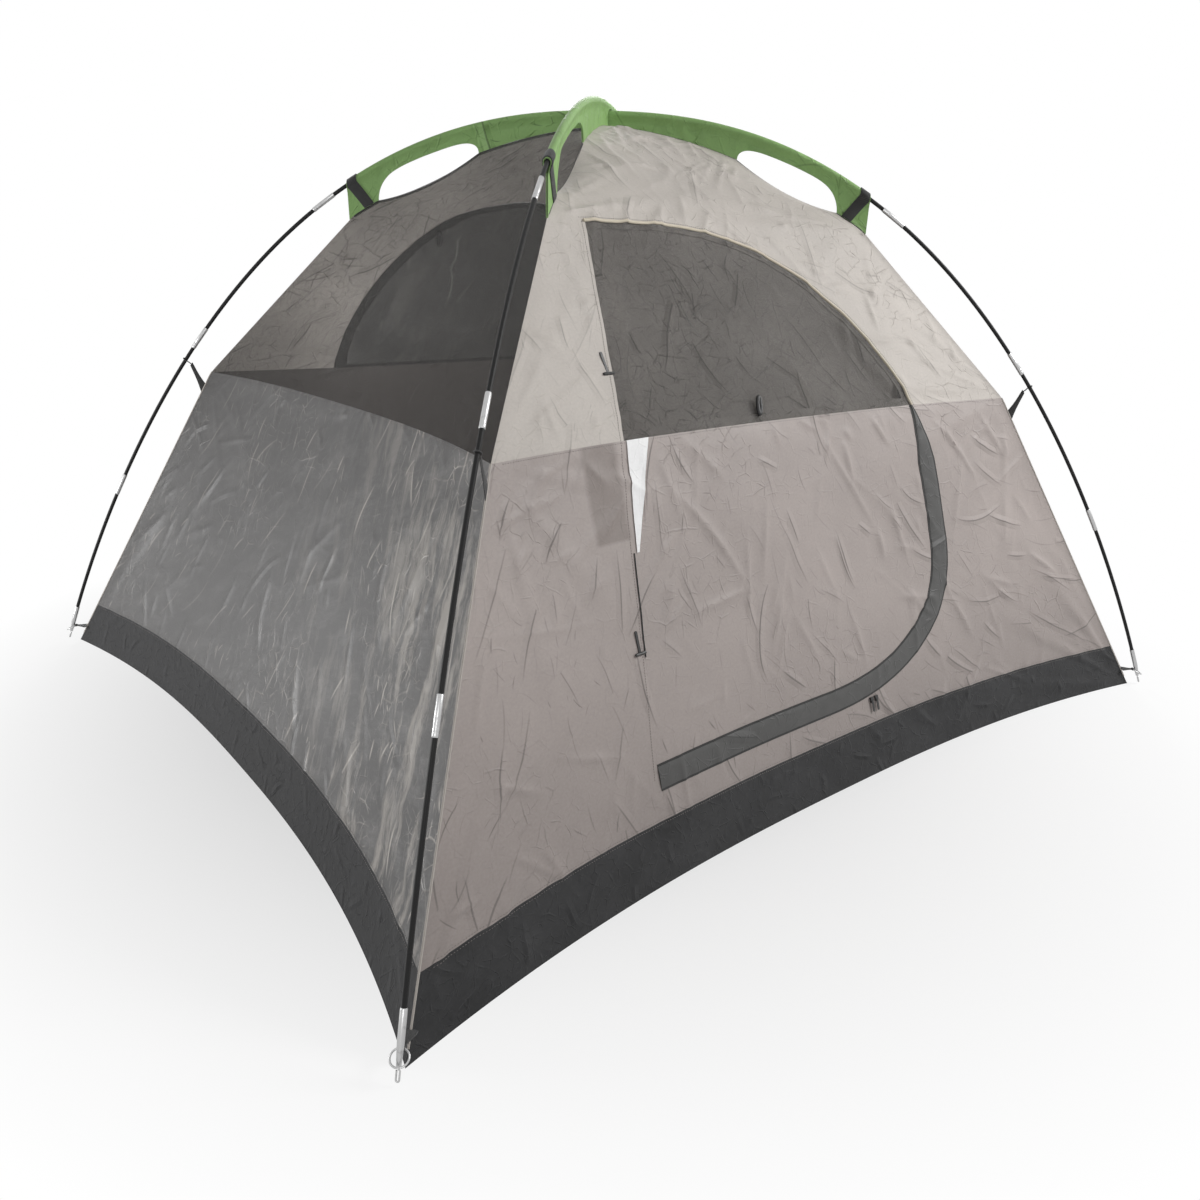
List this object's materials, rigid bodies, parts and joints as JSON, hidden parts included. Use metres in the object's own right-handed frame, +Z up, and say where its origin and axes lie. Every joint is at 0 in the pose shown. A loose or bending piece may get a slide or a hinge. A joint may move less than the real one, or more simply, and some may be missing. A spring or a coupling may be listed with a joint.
{
  "type": "dome tent",
  "caption": "Free-standing dome tent: a fabric body with mesh upper sides and a D-shaped zip door hangs inside crossed sectional poles held by sleeves, hooks and ring-and-pin feet.",
  "frame": {"origin": "middle of the floor's underside, on the ground", "axes": "+Z up; -Y is the front with the door; +X is to the right as seen from the front"},
  "size_m": [2.5068, 2.2105, 1.5006],
  "materials": {
    "beige_cloth": "thin woven polyester, matt, beige",
    "taupe_cloth": "thin woven polyester, matt, taupe",
    "grey_cloth": "coated polyester, slightly glossy, silver grey",
    "dark_mesh": "fine insect mesh, dark grey",
    "floor_cloth": "coated floor cloth, matt dark grey",
    "green_cloth": "woven polyester, matt, green",
    "white_label": "blank white label cloth",
    "storm_cloth": "woven polyester, matt, dark grey",
    "black_webbing": "woven black webbing",
    "black_rod": "black fibreglass rod, with bright steel ferrules and tips",
    "bright_steel": "bright plated steel wire",
    "black_plastic": "moulded black plastic"
  },
  "bodies": {
    "tent": {"floor_tub": "floor_cloth", "front_wall_lower": "taupe_cloth", "front_wall_upper": "beige_cloth", "rear_wall_lower": "taupe_cloth", "rear_wall_upper": "beige_cloth", "rear_window_mesh": "dark_mesh", "left_wall_lower": "grey_cloth", "left_mesh_panel": "dark_mesh", "right_wall_lower": "grey_cloth", "right_mesh_panel": "dark_mesh", "pole_sleeve_a": "green_cloth", "pole_sleeve_b": "green_cloth", "sleeve_strap_front_left": "black_webbing", "sleeve_strap_front_right": "black_webbing", "sleeve_strap_rear_left": "black_webbing", "sleeve_strap_rear_right": "black_webbing", "tab_front_left": "black_webbing", "tab_front_right": "black_webbing", "tab_rear_left": "black_webbing", "tab_rear_right": "black_webbing", "hook_front_left": "black_plastic", "hook_front_right": "black_plastic", "hook_rear_left": "black_plastic", "hook_rear_right": "black_plastic", "webbing_front_left": "black_webbing", "webbing_front_right": "black_webbing", "webbing_rear_left": "black_webbing", "webbing_rear_right": "black_webbing", "pin_front_left": "bright_steel", "pin_front_right": "bright_steel", "pin_rear_left": "bright_steel", "pin_rear_right": "bright_steel", "pole_front_left_lower": "black_rod", "pole_front_left_middle": "black_rod", "pole_front_left_upper": "black_rod", "pole_rear_right_lower": "black_rod", "pole_rear_right_middle": "black_rod", "pole_rear_right_upper": "black_rod", "pole_a_top": "black_rod", "pole_front_right_lower": "black_rod", "pole_front_right_middle": "black_rod", "pole_front_right_upper": "black_rod", "pole_rear_left_lower": "black_rod", "pole_rear_left_middle": "black_rod", "pole_rear_left_upper": "black_rod", "pole_b_top": "black_rod"},
    "door": {"door_lower_panel": "taupe_cloth", "door_window_mesh": "dark_mesh", "door_zip_flap": "storm_cloth", "care_label": "white_label"},
    "door_flap": {"door_window_flap": "storm_cloth"},
    "rear_flap": {"rear_window_flap": "storm_cloth"},
    "slider_left": {"door_zip_slider_left": "black_plastic"},
    "slider_right": {"door_zip_slider_right": "black_plastic"},
    "toggle_upper": {"toggle_upper": "black_plastic"},
    "toggle_lower": {"toggle_lower": "black_plastic"},
    "ring_front_left": {"ring_front_left": "bright_steel"},
    "ring_front_right": {"ring_front_right": "bright_steel"},
    "ring_rear_left": {"ring_rear_left": "bright_steel"},
    "ring_rear_right": {"ring_rear_right": "bright_steel"}
  },
  "joints": [
    {"name": "door_swing", "type": "hinge", "parent": "tent", "child": "door", "pos_m": [-0.481, -0.67234, 0.83], "axis": [-0.1392, -0.4174, -0.898], "range_deg": [0, 100]},
    {"name": "door_flap_fold", "type": "hinge", "parent": "door", "child": "door_flap", "pos_m": [0, -0.64562, 0.83948], "axis": [-1, 0, 0], "range_deg": [0, 140]},
    {"name": "rear_flap_fold", "type": "hinge", "parent": "tent", "child": "rear_flap", "pos_m": [0, 0.64562, 0.83948], "axis": [1, 0, 0], "range_deg": [0, 140]},
    {"name": "slider_left_run", "type": "slide", "parent": "tent", "child": "slider_left", "axis": [-1, 0.0005, 0], "range_m": [0, 0.3]},
    {"name": "slider_right_run", "type": "slide", "parent": "tent", "child": "slider_right", "axis": [0.9998, -0.0185, 0], "range_m": [0, 0.06]},
    {"name": "toggle_upper_swing", "type": "hinge", "parent": "tent", "child": "toggle_upper", "pos_m": [-0.47003, -0.57798, 0.98316], "axis": [-0.0915, 0.8521, -0.5154], "range_deg": [0, 110]},
    {"name": "toggle_lower_swing", "type": "hinge", "parent": "tent", "child": "toggle_lower", "pos_m": [-0.54396, -0.8008, 0.48197], "axis": [-0.0863, 0.9398, -0.3307], "range_deg": [0, 110]},
    {"name": "ring_front_left_turn", "type": "hinge", "parent": "tent", "child": "ring_front_left", "pos_m": [-1.23756, -1.08905, 0.041], "axis": [-0.3291, -0.2896, 0.8988], "continuous": true},
    {"name": "ring_front_right_turn", "type": "hinge", "parent": "tent", "child": "ring_front_right", "pos_m": [1.23742, -1.08893, 0.041], "axis": [0.3291, -0.2896, 0.8988], "continuous": true},
    {"name": "ring_rear_left_turn", "type": "hinge", "parent": "tent", "child": "ring_rear_left", "pos_m": [-1.23742, 1.08893, 0.041], "axis": [-0.3291, 0.2896, 0.8988], "continuous": true},
    {"name": "ring_rear_right_turn", "type": "hinge", "parent": "tent", "child": "ring_rear_right", "pos_m": [1.23756, 1.08905, 0.041], "axis": [0.3291, 0.2896, 0.8988], "continuous": true}
  ]
}
